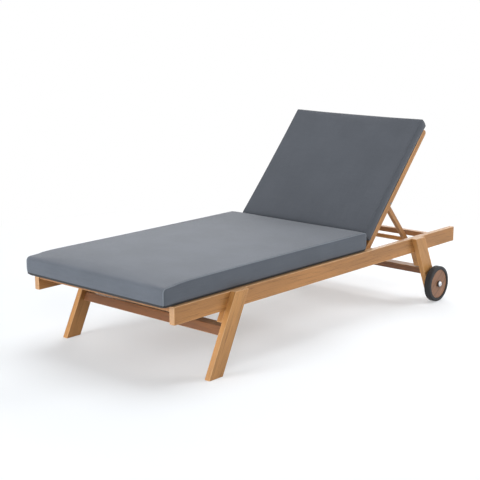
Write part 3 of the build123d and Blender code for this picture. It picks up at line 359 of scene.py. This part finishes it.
is_side = calculate(weave, "GREATER_THAN", face_x, calculate(weave, "MAXIMUM", face_y, face_z))
is_end = calculate(weave, "GREATER_THAN", face_y, calculate(weave, "MAXIMUM", face_x, face_z))
is_top = calculate(weave, "SUBTRACT", calculate(weave, "SUBTRACT", 1.0, is_side), is_end)
threads = [
    calculate(weave, "MULTIPLY", calculate(weave, "MULTIPLY", waves[first], waves[second]), shown)
    for first, second, shown in ((0, 1, is_top), (1, 2, is_side), (0, 2, is_end))
]
crossing = calculate(weave, "ADD", calculate(weave, "ADD", threads[0], threads[1]), threads[2])
crossing = scaled_range(weave, crossing, -1.0, 1.0)
warp = noise(weave, spot, detail=2.0, per_axis=(14, 420, 420))
weft = noise(weave, spot, detail=2.0, per_axis=(420, 14, 420))
slub = scaled_range(weave, calculate(weave, "ADD", warp, weft), 0.75, 1.25)
cloudy = noise(weave, spot, detail=3.0, scale=7.0)
cloudy = scaled_range(weave, cloudy, 0.3, 0.7, to_low=0.95, to_high=1.04)
yarns = inside["Yarn"]
for pattern, strength in ((slub, 0.3), (crossing, 0.25)):
    yarns = blend_colors(weave, calculate(weave, "MULTIPLY", pattern, strength), yarns, dark_yarn)
yarns = blend_colors(weave, 1.0, yarns, cloudy, "MULTIPLY")
# Painted light: upward faces are painted paler as light from above, and less so towards the head end as
# painted shade from the backrest.
upward = add_node(weave, "ShaderNodeSeparateXYZ", {0: inside["Facing"]}).outputs["Z"]
on_panel = scaled_range(weave, upward, 0.5, 0.98)
near_foot = scaled_range(weave, y, -0.6, 0.3, to_low=1.0, to_high=0.0)
painted_light_mask = calculate(weave, "MULTIPLY", on_panel, near_foot)
top_light_paint = calculate(weave, "MULTIPLY", painted_light_mask, inside["Painted top light"])
yarns = blend_colors(weave, 1.0, yarns, calculate(weave, "ADD", 1.0, top_light_paint), "MULTIPLY")
rough = scaled_range(weave, crossing, 0.0, 1.0, to_low=0.78, to_high=0.9)
add_node(weave, "NodeGroupOutput", {"Color": yarns, "Roughness": rough, "Height": crossing})


def cushion_cloth(name, yarn, dark_yarn, top_light_paint, slope=0):
    """Woven cloth whose threads run square to one cushion, its upward panel painted paler as painted light
    from above, less so towards the head end as painted shade from the backrest.
    """
    material, tree, shader = new_material(name)
    spots = add_node(tree, "ShaderNodeTexCoord").outputs
    turn = (-slope, 0, 0)
    place = add_node(tree, "ShaderNodeMapping", {"Vector": spots["Object"], "Rotation": turn})
    facing_inputs = {"Vector": spots["Normal"], "Rotation": turn}
    facing = add_node(tree, "ShaderNodeMapping", facing_inputs, vector_type="NORMAL")
    cloth_inputs = {
        "Vector": place.outputs[0],
        "Facing": facing.outputs[0],
        "Yarn": yarn,
        "Dark yarn": dark_yarn,
        "Thread pitch": 0.0011,
        "Painted top light": top_light_paint,
    }
    cloth = add_node(tree, "ShaderNodeGroup", cloth_inputs, node_tree=weave).outputs
    shader_inputs = {
        "Base Color": cloth["Color"],
        "Roughness": cloth["Roughness"],
        "Normal": bumped(tree, cloth["Height"], 0.35, 0.0003),
        "Specular IOR Level": 0.25,
        "Sheen Weight": 0.12,
        "Sheen Roughness": 0.5,
    }
    wire(tree, shader, shader_inputs)
    return material


def end_outline(start, end, low, high, roll, fall):
    """The cushion's outline seen from its side: soft rolls above at both ends, tight corners below."""
    tight = 0.004
    steps = 6
    fall_shares = ((0.16, 0), (0.12, 0.1), (0.08, 0.35), (0.05, 0.68)) if fall else ()
    points = [(start + way, high - fall * share) for way, share in fall_shares]
    corners = (
        (start + roll, high - fall - roll, roll, 1),
        (start + tight, low + tight, tight, 2),
        (end - tight, low + tight, tight, 3),
        (end - roll, high - roll, roll, 0),
    )
    for middle_u, middle_height, radius, turn in corners:
        for part in range(steps + 1):
            angle = (turn + part / steps) * pi / 2
            points.append((middle_u + radius * cos(angle), middle_height + radius * sin(angle)))
    return points


def draw_in(places, half_width, start, end):
    """Pulls the long sides in between their corners."""
    drawn = 0.004
    from_middle = np.clip(np.abs(places[:, 1] - (start + end) / 2) * 2 / (end - start), 0, 1)
    places[:, 0] *= 1 - drawn / half_width * (1 - from_middle**2.5)
    return places


def foam_block(name, half_width, outline, voxel):
    """The block of foam inside the cover, in the cushion's own axes, remeshed evenly for the simulation."""
    count = len(outline)
    verts = [(side * half_width, u, height) for side in (-1, 1) for u, height in outline]
    faces = [tuple(reversed(range(count))), tuple(range(count, 2 * count))]
    for index in range(count):
        after = (index + 1) % count
        faces.append((index, after, count + after, count + index))
    mesh = bpy.data.meshes.new(name)
    mesh.from_pydata(verts, [], faces)
    piece = bpy.data.objects.new(name, mesh)
    bpy.context.scene.collection.objects.link(piece)
    remesh = piece.modifiers.new("Remesh", "REMESH")
    remesh.mode = "VOXEL"
    remesh.voxel_size = voxel
    apply_modifiers(piece)
    return piece


def apply_modifiers(piece):
    """Replaces the piece's mesh by what its modifiers make of it."""
    shown = piece.evaluated_get(bpy.context.evaluated_depsgraph_get())
    mesh = bpy.data.meshes.new_from_object(shown)
    piece.modifiers.clear()
    piece.data = mesh


def coordinates(mesh):
    """The mesh's vertices as an array."""
    flat = np.zeros(len(mesh.vertices) * 3)
    mesh.vertices.foreach_get("co", flat)
    return flat.reshape(-1, 3)


def closest_finder(points):
    """A tree for the nearest of these points."""
    finder = KDTree(len(points))
    for index, spot in enumerate(points):
        finder.insert(spot, index)
    finder.balance()
    return finder


def inflate(piece, seam, floor, rise, voxel):
    """The cover swells under the foam's pressure, held at its seams and below, and rises just so far."""
    side_swell = 0.0035
    last_frame = 20
    before = coordinates(piece.data)
    finder = closest_finder(seam)
    underside = floor + 0.002
    held = [i for i, spot in enumerate(before) if spot[2] < underside or finder.find(spot)[2] < voxel]
    piece.vertex_groups.new(name="Held").add(held, 1.0, "REPLACE")
    cloth = piece.modifiers.new("Cover", "CLOTH")
    cloth.settings.use_pressure = True
    cloth.settings.uniform_pressure_force = 4.0
    cloth.settings.effector_weights.gravity = 0.0
    cloth.settings.vertex_group_mass = "Held"
    cloth.point_cache.frame_start = 1
    cloth.point_cache.frame_end = last_frame
    for step in range(1, last_frame + 1):
        bpy.context.scene.frame_set(step)
    apply_modifiers(piece)
    bpy.context.scene.frame_set(1)
    move = coordinates(piece.data) - before
    far, high = np.abs(move[:, 0]).max(), move[:, 2].max()
    final = before + move * (side_swell / far, rise / high, rise / high)
    final[:, 2] = np.maximum(final[:, 2], floor)
    piece.data.vertices.foreach_set("co", final.ravel())
    piece.data.update()
    smooth = piece.modifiers.new("Even out", "SMOOTH")
    smooth.factor = 0.5
    smooth.iterations = 12
    smooth.vertex_group = "Held"
    smooth.invert_vertex_group = True
    finer = piece.modifiers.new("Finer", "SUBSURF")
    finer.levels = finer.render_levels = 1
    apply_modifiers(piece)


def side_seams(half_width, outline, step):
    """Points of the two seams that run round the side panels."""
    loop = np.array(outline + outline[:1])
    reach = np.concatenate([[0], np.cumsum(np.linalg.norm(np.diff(loop, axis=0), axis=1))])
    spots = np.linspace(0, reach[-1], int(reach[-1] / step), endpoint=False)
    u, height = (np.interp(spots, reach, loop[:, axis]) for axis in (0, 1))
    return [np.stack([np.full(len(spots), side * half_width), u, height], axis=1) for side in (-1, 1)]


def surface_tree(piece):
    """The piece's surface, for finding the nearest point on it."""
    return BVHTree.FromPolygons([v.co for v in piece.data.vertices], [p.vertices for p in piece.data.polygons])


def sink_seam(piece, seam, depth, width):
    """Pulls the cover in along a seam, deepest at the stitches and easing out on both sides."""
    finder = closest_finder(seam)
    places = coordinates(piece.data)
    normals = np.zeros(len(places) * 3)
    piece.data.vertices.foreach_get("normal", normals)
    normals = normals.reshape(-1, 3)
    far = np.array([finder.find(spot)[2] for spot in places])
    places -= normals * (depth * np.exp(-((far / width) ** 2)))[:, None]
    piece.data.vertices.foreach_set("co", places.ravel())
    piece.data.update()


def sweep(name, lines, radius, sides=8):
    """Tubes of one radius along closed lines of points that each lie in a plane square to X, as one mesh."""
    verts, faces = [], []
    for points in lines:
        count = len(points)
        first = len(verts)
        for index, spot in enumerate(points):
            along = Vector(points[(index + 1) % count] - points[index - 1]).normalized()
            side = (Vector((1, 0, 0)) - along * along.x).normalized()
            up = side.cross(along)
            for corner in range(sides):
                angle = 2 * pi * corner / sides
                verts.append(Vector(spot) + (side * cos(angle) + up * sin(angle)) * radius)
        for index in range(count):
            for corner in range(sides):
                after = (corner + 1) % sides
                row, ahead = first + index * sides, first + (index + 1) % count * sides
                faces.append((row + corner, row + after, ahead + after, ahead + corner))
    mesh = bpy.data.meshes.new(name)
    mesh.from_pydata([tuple(v) for v in verts], [], faces)
    mesh.update()
    piece = bpy.data.objects.new(name, mesh)
    bpy.context.scene.collection.objects.link(piece)
    return piece


def sewn_cushion(name, size, rise, roll, fall, voxel):
    """A cushion in its own axes: the swollen cover, and the welts round its side panels."""
    half_width, start, end, low, high = size
    seam_step, welt_radius, welt_lift, welt_passes = 0.004, 0.0018, 0.0010, 3
    outline = end_outline(start, end, low, high, roll, fall)
    cover = foam_block(name, half_width, outline, voxel)
    seams = [draw_in(seam, half_width, start, end) for seam in side_seams(half_width, outline, seam_step)]
    everywhere = np.concatenate(seams)
    below = everywhere[everywhere[:, 2] < low + 0.01]
    cover.data.vertices.foreach_set("co", draw_in(coordinates(cover.data), half_width, start, end).ravel())
    inflate(cover, everywhere, low, rise, voxel)
    sink_seam(cover, below, depth=0.0040, width=0.010)
    sink_seam(cover, everywhere, depth=0.0018, width=0.005)
    tree = surface_tree(cover)
    lines = []
    for seam in seams:
        hits = [tree.find_nearest(Vector(spot)) for spot in seam]
        line = np.array([hit[0] + hit[1] * welt_lift for hit in hits])
        for _ in range(welt_passes):
            line = (np.roll(line, 1, 0) + 2 * line + np.roll(line, -1, 0)) / 4
        lines.append(line)
    welt = sweep(f"{name}_welt", lines, welt_radius)
    for polygon in list(cover.data.polygons) + list(welt.data.polygons):
        polygon.use_smooth = True
    return cover, welt


# Half width, start, end, underside and top.
seat_size = (0.3825, -0.9725, 0.2605, 0.3113, 0.3940)
seat_cover, seat_welt = sewn_cushion(
    "seat_cushion_cover", seat_size, rise=0.0090, roll=0.012, fall=0.009, voxel=0.006
)
seat_cloth = cushion_cloth("Lower cushion cloth", srgb(89, 94, 102), srgb(71, 76, 84), 0.24)
# The seat's welts are painted paler than the cover as a painted highlight along the seams.
highlight_welt_cloth = cushion_cloth("Pale welt cloth as painted highlight", srgb(122, 128, 136), srgb(98, 104, 112), 0)
# A near-black cloth on the underside and the lowest 10 mm of the cover and welt paints the contact shade
# between cushion and rail.
contact_shade_lining = cushion_cloth("Underside cloth painted as contact shade", srgb(40, 40, 42), srgb(28, 28, 30), 0)
contact_shade_top = seat_size[3] + 0.010
for piece, cloth in ((seat_cover, seat_cloth), (seat_welt, highlight_welt_cloth)):
    piece.data.materials.append(cloth)
    piece.data.materials.append(contact_shade_lining)
    for polygon in piece.data.polygons:
        polygon.material_index = int(polygon.center.z < contact_shade_top)
    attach(piece, "base")
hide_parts("seat_cushion")

# The backrest frame: two stiles, with six slats let into their front edges.
# The prop hangs on a steel bolt in each stile.
tilt = radians(47.85)
up_back = (0, cos(tilt), sin(tilt))
board("back_stile_right", up_back, "amber", 31)
board("back_stile_left", up_back, "amber", 32)
for number in range(1, 7):
    board(f"back_slat_{number}", (1, 0, 0), ("amber", "honey")[number % 2], 32 + number)
dress(screw_steel, "steel", "prop_pivot_bolts")

# The back cushion: the same foam and cloth as the seat, on the slats of the backrest; its cloth is painted
# darker, as painted shade.
# It is made lying flat and then turned up about the hinge line.
back_size = (0.3575, 0.043, 0.678, 0.0143, 0.0703)
back_cover, back_welt = sewn_cushion(
    "back_cushion_cover", back_size, rise=0.0090, roll=0.010, fall=0, voxel=0.005
)
# The seat's cloth painted darker as painted shade.
shaded_back_cloth = cushion_cloth("Back cushion cloth painted in shade", srgb(77, 81, 88), srgb(62, 66, 73), 0.02, tilt)
hinge_line = (0, 0.308, 0.297)
lie_on_back = Matrix.Translation(hinge_line) @ Matrix.Rotation(tilt, 4, "X")
for piece, cloth in ((back_cover, shaded_back_cloth), (back_welt, shaded_back_cloth)):
    piece.data.transform(lie_on_back)
    piece.data.materials.append(cloth)
    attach(piece, "backrest")
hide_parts("back_cushion")

# The prop: two struts from the stiles down to a round bar, which has a steel pin in each end.
# The pins run along the notched battens as the backrest is raised and lowered.
low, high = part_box("prop_strut_right")
strut_down = (0, high.y - low.y, low.z - high.z)
board("prop_strut_right", strut_down, "amber", 41)
board("prop_strut_left", strut_down, "amber", 42)
board("prop_bar", (1, 0, 0), "amber", 43)
dress(screw_steel, "steel", "prop_foot_pins", "prop_washers")

# The axle of each wheel: a steel bolt in the rear leg, a plastic spacer and washer, and a domed cap nut.
# The cap is polished and pressed on over the bolt's end.
dress(screw_steel, "steel", "axle_bolts")
dress(plain_metal("Polished cap", srgb(196, 198, 202), 0.22, 0.05), "cap", "axle_cap_nuts")
spacer = matt_rubber("Spacer plastic", srgb(30, 30, 32), srgb(50, 50, 51))
dress(spacer, "black_plastic", "axle_washers")

# The wheels: a turned hardwood disc inside a moulded rubber tyre, running on a plastic bush.
# The disc is a darker wood, oiled, with its grain straight across the face.
for number, side in enumerate(("right", "left")):
    board(f"wheel_disc_{side}", (0, 0.8, 0.6), "walnut", 51 + number, 0.6, 0.7)
tyre_rubber = matt_rubber("Tyre rubber", srgb(15, 15, 17), srgb(29, 29, 31))
dress(tyre_rubber, "tyre", "wheel_tyre_right", "wheel_tyre_left")
dress(spacer, "bush", "wheel_bush_right", "wheel_bush_left")

# The studio: a pale sweep of floor that glows white away from the lounger, broad soft lamps on all sides,
# and the camera where the photographer stood.
edge = 40
floor_mesh = bpy.data.meshes.new("studio_floor")
floor_corners = [(-edge, -edge, 0), (edge, -edge, 0), (edge, edge, 0), (-edge, edge, 0)]
floor_mesh.from_pydata(floor_corners, [], [(0, 1, 2, 3)])
floor = bpy.data.objects.new("studio_floor", floor_mesh)
bpy.context.scene.collection.objects.link(floor)


def seen_directly(tree):
    """1 for rays from the camera, mirrored ones and those that pass through glass, otherwise 0."""
    ray = add_node(tree, "ShaderNodeLightPath").outputs
    indirect = calculate(tree, "MAXIMUM", ray["Is Glossy Ray"], ray["Is Transmission Ray"])
    return calculate(tree, "MAXIMUM", ray["Is Camera Ray"], indirect)


floor_paint, tree, paint = new_material("Floor paint")
floor_paint.cycles.emission_sampling = "NONE"
wire(tree, paint, {"Base Color": (0.85, 0.89, 0.93, 1), "Roughness": 0.9})
glow = add_node(tree, "ShaderNodeEmission", {"Color": (1, 1, 1, 1), "Strength": 1.0}).outputs[0]
floor_spot = add_node(tree, "ShaderNodeTexCoord").outputs["Object"]
from_middle = add_node(tree, "ShaderNodeVectorMath", {0: floor_spot}, operation="LENGTH").outputs["Value"]
whiteness = scaled_range(tree, from_middle, 1.3, 2.6, to_low=0.34, to_high=1.0)
share = calculate(tree, "MULTIPLY", seen_directly(tree), whiteness)
pale = add_node(tree, "ShaderNodeMixShader", {0: share, 1: paint.outputs[0], 2: glow}).outputs[0]
tree.links.new(pale, tree.nodes["Material Output"].inputs["Surface"])
floor.data.materials.append(floor_paint)

world = bpy.data.worlds.new("Studio air")
world.use_nodes = True
tree = world.node_tree
air_inputs = {
    "Color": (1, 1, 1, 1),
    "Strength": scaled_range(tree, seen_directly(tree), 0.0, 1.0, to_low=0.15, to_high=1.0),
}
wire(tree, tree.nodes["Background"], air_inputs)
bpy.context.scene.world = world

lamp_target = Vector((0, 0, 0.3))
for name, place, size, power in (
    ("Overhead lamp", (0, 0.3, 4.0), 3.0, 89),
    ("Back lamp", (-0.3, 3.4, 2.2), 2.0, 31),
    ("Left back lamp", (-2.6, 3.0, 2.2), 2.0, 76),
    ("Low front lamp", (-1.0, -5.0, 1.0), 2.0, 169),
    ("High front lamp", (-1.0, -4.4, 2.6), 2.0, 12),
    ("Camera side lamp", (3.4, -4.0, 2.5), 1.5, 86),
    ("Right back lamp", (3.0, 3.5, 2.2), 2.0, 112),
):
    lamp = bpy.data.lights.new(name, "AREA")
    lamp.size = size
    lamp.energy = power
    holder = bpy.data.objects.new(name, lamp)
    holder.location = place
    holder.rotation_euler = (lamp_target - Vector(place)).to_track_quat("-Z", "Y").to_euler()
    bpy.context.scene.collection.objects.link(holder)

camera = bpy.data.objects.new("Camera", bpy.data.cameras.new("Camera"))
camera.location = (3.0902, -3.6444, 1.3865)
camera.rotation_euler = (radians(77.733), 0, radians(41.334))
camera.data.lens = 84.14
camera.data.sensor_width = 36
bpy.context.scene.collection.objects.link(camera)
bpy.context.scene.camera = camera
bpy.context.scene.view_settings.view_transform = "Standard"
